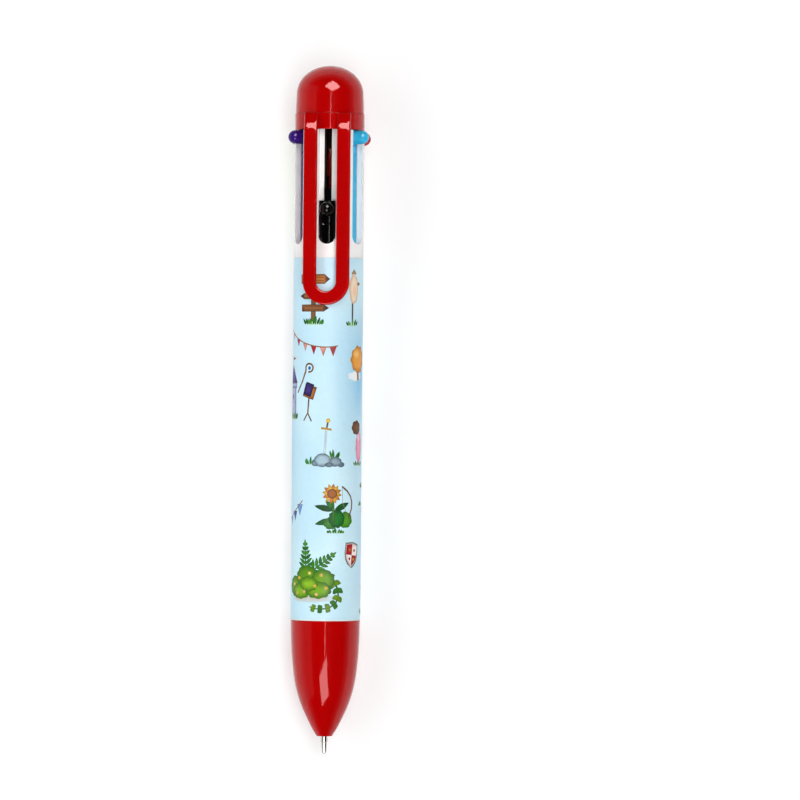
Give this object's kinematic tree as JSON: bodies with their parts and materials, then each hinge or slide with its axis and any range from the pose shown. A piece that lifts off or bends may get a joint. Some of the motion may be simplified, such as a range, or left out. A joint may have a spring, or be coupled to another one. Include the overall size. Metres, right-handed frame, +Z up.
{
  "type": "multicolor click pen",
  "caption": "Click pen with a slotted tube of spring-loaded coloured sliders, each carrying its own refill, a looped pocket clip, a domed cap and an ogive nose.",
  "frame": {"origin": "on the surface the pen lies on, midway along its length, under the pen's axis; the axis is 9.3 mm above it", "axes": "+Y along the pen from the writing tip to the dome, +Z up on the clip's side, +X towards the light blue button's side"},
  "size_m": [0.0164, 0.1408, 0.0186],
  "materials": {
    "red_plastic": "glossy moulded, opaque",
    "white_plastic": "glossy moulded, slightly translucent",
    "printed_film": "printed pale blue film with small pictures, satin gloss",
    "black_slider_plastic": "glossy moulded, opaque",
    "light_blue_slider_plastic": "glossy moulded, opaque",
    "red_slider_plastic": "glossy moulded, opaque",
    "orange_slider_plastic": "glossy moulded, opaque",
    "lime_slider_plastic": "glossy moulded, opaque",
    "purple_slider_plastic": "glossy moulded, opaque",
    "refill_tube_plastic": "milky, ink shows through",
    "nickel_point": "turned and nickel plated",
    "hard_metal_ball": "polished",
    "spring_steel": "drawn wire"
  },
  "bodies": {
    "root": {"nose_cone": "red_plastic", "barrel_tube": "white_plastic", "print_sleeve": "printed_film", "slider_guide": "white_plastic", "spring_seat": "white_plastic", "clip_collar": "red_plastic", "dome_cap": "red_plastic", "return_spring_black": "spring_steel", "return_spring_light_blue": "spring_steel", "return_spring_red": "spring_steel", "return_spring_orange": "spring_steel", "return_spring_lime": "spring_steel", "return_spring_purple": "spring_steel"},
    "clip": {"pocket_clip": "red_plastic"},
    "black_slider": {"slider_black": "black_slider_plastic"},
    "black_refill": {"refill_tube_black": "refill_tube_plastic", "refill_point_black": "nickel_point", "writing_ball_black": "hard_metal_ball"},
    "light_blue_slider": {"slider_light_blue": "light_blue_slider_plastic"},
    "light_blue_refill": {"refill_tube_light_blue": "refill_tube_plastic", "refill_point_light_blue": "nickel_point", "writing_ball_light_blue": "hard_metal_ball"},
    "red_slider": {"slider_red": "red_slider_plastic"},
    "red_refill": {"refill_tube_red": "refill_tube_plastic", "refill_point_red": "nickel_point", "writing_ball_red": "hard_metal_ball"},
    "orange_slider": {"slider_orange": "orange_slider_plastic"},
    "orange_refill": {"refill_tube_orange": "refill_tube_plastic", "refill_point_orange": "nickel_point", "writing_ball_orange": "hard_metal_ball"},
    "lime_slider": {"slider_lime": "lime_slider_plastic"},
    "lime_refill": {"refill_tube_lime": "refill_tube_plastic", "refill_point_lime": "nickel_point", "writing_ball_lime": "hard_metal_ball"},
    "purple_slider": {"slider_purple": "purple_slider_plastic"},
    "purple_refill": {"refill_tube_purple": "refill_tube_plastic", "refill_point_purple": "nickel_point", "writing_ball_purple": "hard_metal_ball"}
  },
  "joints": [
    {"name": "black_slide", "type": "slide", "parent": "root", "child": "black_slider", "axis": [0, -1, 0], "range_m": [-0.0147, 0], "deforming": ["return_spring_black", "refill_tube_black", "refill_point_black", "writing_ball_black"]},
    {"name": "black_refill_lean", "type": "hinge", "parent": "black_slider", "child": "black_refill", "pos_m": [0, 0.01353, 0.0132], "axis": [1, 0, 0], "range_deg": [-2.66, 0]},
    {"name": "light_blue_slide", "type": "slide", "parent": "root", "child": "light_blue_slider", "axis": [0, -1, 0], "range_m": [0, 0.0147], "stiffness_N_per_m": 60, "deforming": ["return_spring_light_blue", "refill_tube_light_blue", "refill_point_light_blue", "writing_ball_light_blue"]},
    {"name": "light_blue_refill_lean", "type": "hinge", "parent": "light_blue_slider", "child": "light_blue_refill", "pos_m": [0.00338, 0.02823, 0.01125], "axis": [0.5, 0, -0.866], "range_deg": [0, 2.66]},
    {"name": "red_slide", "type": "slide", "parent": "root", "child": "red_slider", "axis": [0, -1, 0], "range_m": [0, 0.0147], "stiffness_N_per_m": 60, "deforming": ["return_spring_red", "refill_tube_red", "refill_point_red", "writing_ball_red"]},
    {"name": "red_refill_lean", "type": "hinge", "parent": "red_slider", "child": "red_refill", "pos_m": [0.00338, 0.02823, 0.00735], "axis": [-0.5, 0, -0.866], "range_deg": [0, 2.66]},
    {"name": "orange_slide", "type": "slide", "parent": "root", "child": "orange_slider", "axis": [0, -1, 0], "range_m": [0, 0.0147], "stiffness_N_per_m": 60, "deforming": ["return_spring_orange", "refill_tube_orange", "refill_point_orange", "writing_ball_orange"]},
    {"name": "orange_refill_lean", "type": "hinge", "parent": "orange_slider", "child": "orange_refill", "pos_m": [0, 0.02823, 0.0054], "axis": [-1, 0, 0], "range_deg": [0, 2.66]},
    {"name": "lime_slide", "type": "slide", "parent": "root", "child": "lime_slider", "axis": [0, -1, 0], "range_m": [0, 0.0147], "stiffness_N_per_m": 60, "deforming": ["return_spring_lime", "refill_tube_lime", "refill_point_lime", "writing_ball_lime"]},
    {"name": "lime_refill_lean", "type": "hinge", "parent": "lime_slider", "child": "lime_refill", "pos_m": [-0.00338, 0.02823, 0.00735], "axis": [-0.5, 0, 0.866], "range_deg": [0, 2.66]},
    {"name": "purple_slide", "type": "slide", "parent": "root", "child": "purple_slider", "axis": [0, -1, 0], "range_m": [0, 0.0147], "stiffness_N_per_m": 60, "deforming": ["return_spring_purple", "refill_tube_purple", "refill_point_purple", "writing_ball_purple"]},
    {"name": "purple_refill_lean", "type": "hinge", "parent": "purple_slider", "child": "purple_refill", "pos_m": [-0.00338, 0.02823, 0.01125], "axis": [0.5, 0, 0.866], "range_deg": [0, 2.66]},
    {"name": "clip_flex", "type": "hinge", "parent": "root", "child": "clip", "pos_m": [0, 0.05892, 0.0163], "axis": [-1, 0, 0], "range_deg": [0, 3], "stiffness_Nm_per_rad": 2.8}
  ],
  "couplings": [
    {"joint": "black_refill_lean", "follows": "black_slide", "rad_per_m": 3.1579},
    {"joint": "light_blue_refill_lean", "follows": "light_blue_slide", "rad_per_m": 3.1579},
    {"joint": "red_refill_lean", "follows": "red_slide", "rad_per_m": 3.1579},
    {"joint": "orange_refill_lean", "follows": "orange_slide", "rad_per_m": 3.1579},
    {"joint": "lime_refill_lean", "follows": "lime_slide", "rad_per_m": 3.1579},
    {"joint": "purple_refill_lean", "follows": "purple_slide", "rad_per_m": 3.1579}
  ]
}
